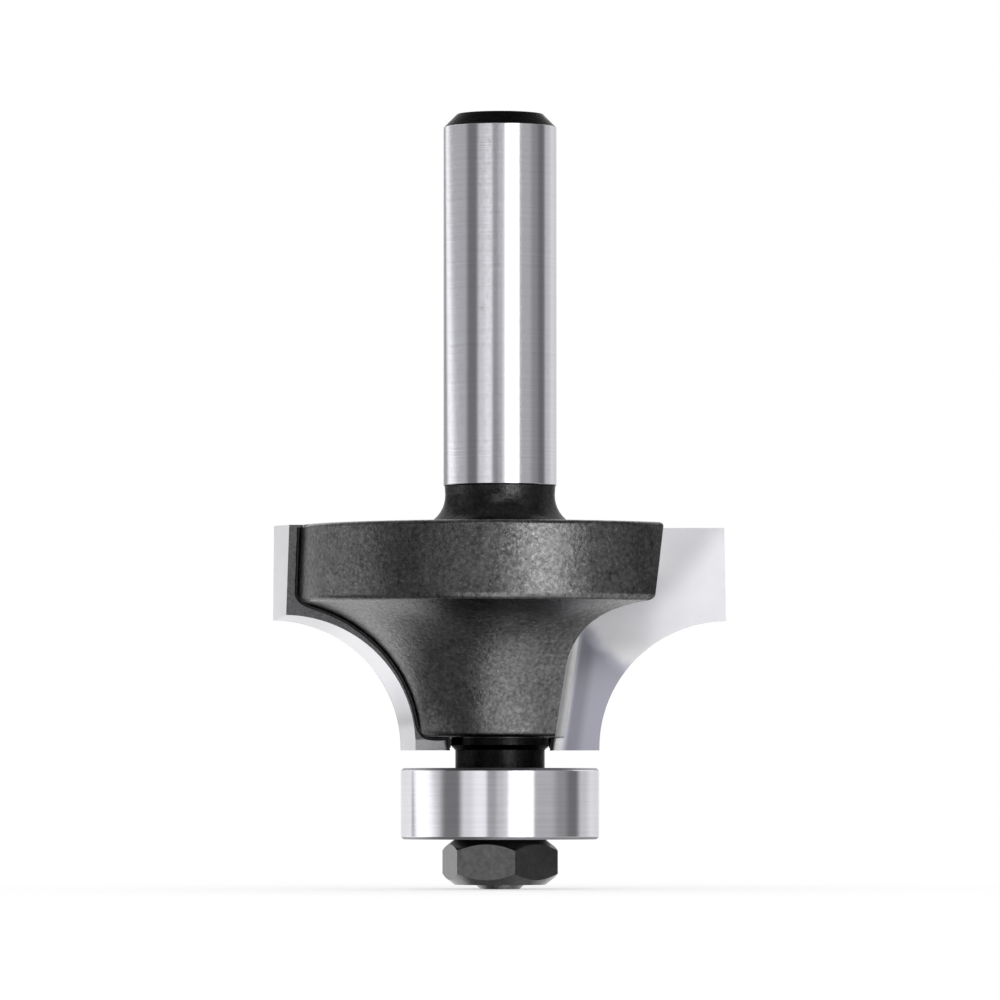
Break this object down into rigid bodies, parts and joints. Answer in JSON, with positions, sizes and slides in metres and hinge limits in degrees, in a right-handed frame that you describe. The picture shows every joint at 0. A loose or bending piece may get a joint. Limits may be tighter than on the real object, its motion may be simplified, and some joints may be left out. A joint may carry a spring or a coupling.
{
  "type": "router bit",
  "caption": "Corner-rounding router bit: round shank, concave head with brazed carbide tips and a guide bearing held by a nut.",
  "frame": {"origin": "centre of the flat end of the threaded stud, the lowest point of the bit, on its axis", "axes": "+Z along the axis from the stud to the shank; +X through the tip whose rake face looks along -Y; -Y is the side that the picture shows"},
  "size_m": [0.032, 0.0292, 0.0547],
  "materials": {
    "tool_steel": "shank ground bright, head blasted and blackened",
    "carbide": "fine ground",
    "blackened_nut": "black oxide, satin",
    "bearing_steel": "ground and polished",
    "shield_steel": "satin sheet",
    "spring_steel": "drawn wire",
    "cage_steel": "pressed sheet",
    "ball_steel": "polished"
  },
  "bodies": {
    "cutter": {"cutter_body": "tool_steel", "carbide_tip_1": "carbide", "carbide_tip_2": "carbide", "bearing_inner_ring": "bearing_steel", "retaining_nut": "blackened_nut"},
    "outer_ring": {"bearing_outer_ring": "bearing_steel", "bearing_upper_shield": "shield_steel", "bearing_lower_shield": "shield_steel", "shield_snap_ring_upper": "spring_steel", "shield_snap_ring_lower": "spring_steel"},
    "cage": {"bearing_cage_upper": "cage_steel", "bearing_cage_lower": "cage_steel"},
    "ball_1": {"bearing_ball_1": "ball_steel"},
    "ball_2": {"bearing_ball_2": "ball_steel"},
    "ball_3": {"bearing_ball_3": "ball_steel"},
    "ball_4": {"bearing_ball_4": "ball_steel"},
    "ball_5": {"bearing_ball_5": "ball_steel"},
    "ball_6": {"bearing_ball_6": "ball_steel"},
    "ball_7": {"bearing_ball_7": "ball_steel"}
  },
  "joints": [
    {"name": "outer_ring_spin", "type": "hinge", "parent": "cutter", "child": "outer_ring", "pos_m": [0, 0, 0.006], "axis": [0, 0, 1], "continuous": true},
    {"name": "cage_orbit", "type": "hinge", "parent": "cutter", "child": "cage", "pos_m": [0, 0, 0.006], "axis": [0, 0, 1], "continuous": true},
    {"name": "ball_1_spin", "type": "hinge", "parent": "cage", "child": "ball_1", "pos_m": [0.00475, 0, 0.006], "axis": [0, 0, 1], "continuous": true},
    {"name": "ball_2_spin", "type": "hinge", "parent": "cage", "child": "ball_2", "pos_m": [0.00296, 0.00371, 0.006], "axis": [0, 0, 1], "continuous": true},
    {"name": "ball_3_spin", "type": "hinge", "parent": "cage", "child": "ball_3", "pos_m": [-0.00106, 0.00463, 0.006], "axis": [0, 0, 1], "continuous": true},
    {"name": "ball_4_spin", "type": "hinge", "parent": "cage", "child": "ball_4", "pos_m": [-0.00428, 0.00206, 0.006], "axis": [0, 0, 1], "continuous": true},
    {"name": "ball_5_spin", "type": "hinge", "parent": "cage", "child": "ball_5", "pos_m": [-0.00428, -0.00206, 0.006], "axis": [0, 0, 1], "continuous": true},
    {"name": "ball_6_spin", "type": "hinge", "parent": "cage", "child": "ball_6", "pos_m": [-0.00106, -0.00463, 0.006], "axis": [0, 0, 1], "continuous": true},
    {"name": "ball_7_spin", "type": "hinge", "parent": "cage", "child": "ball_7", "pos_m": [0.00296, -0.00371, 0.006], "axis": [0, 0, 1], "continuous": true}
  ],
  "couplings": [
    {"joint": "cage_orbit", "follows": "outer_ring_spin", "ratio": 0.62532},
    {"joint": "ball_1_spin", "follows": "outer_ring_spin", "ratio": 1.8696},
    {"joint": "ball_2_spin", "follows": "outer_ring_spin", "ratio": 1.8696},
    {"joint": "ball_3_spin", "follows": "outer_ring_spin", "ratio": 1.8696},
    {"joint": "ball_4_spin", "follows": "outer_ring_spin", "ratio": 1.8696},
    {"joint": "ball_5_spin", "follows": "outer_ring_spin", "ratio": 1.8696},
    {"joint": "ball_6_spin", "follows": "outer_ring_spin", "ratio": 1.8696},
    {"joint": "ball_7_spin", "follows": "outer_ring_spin", "ratio": 1.8696}
  ]
}
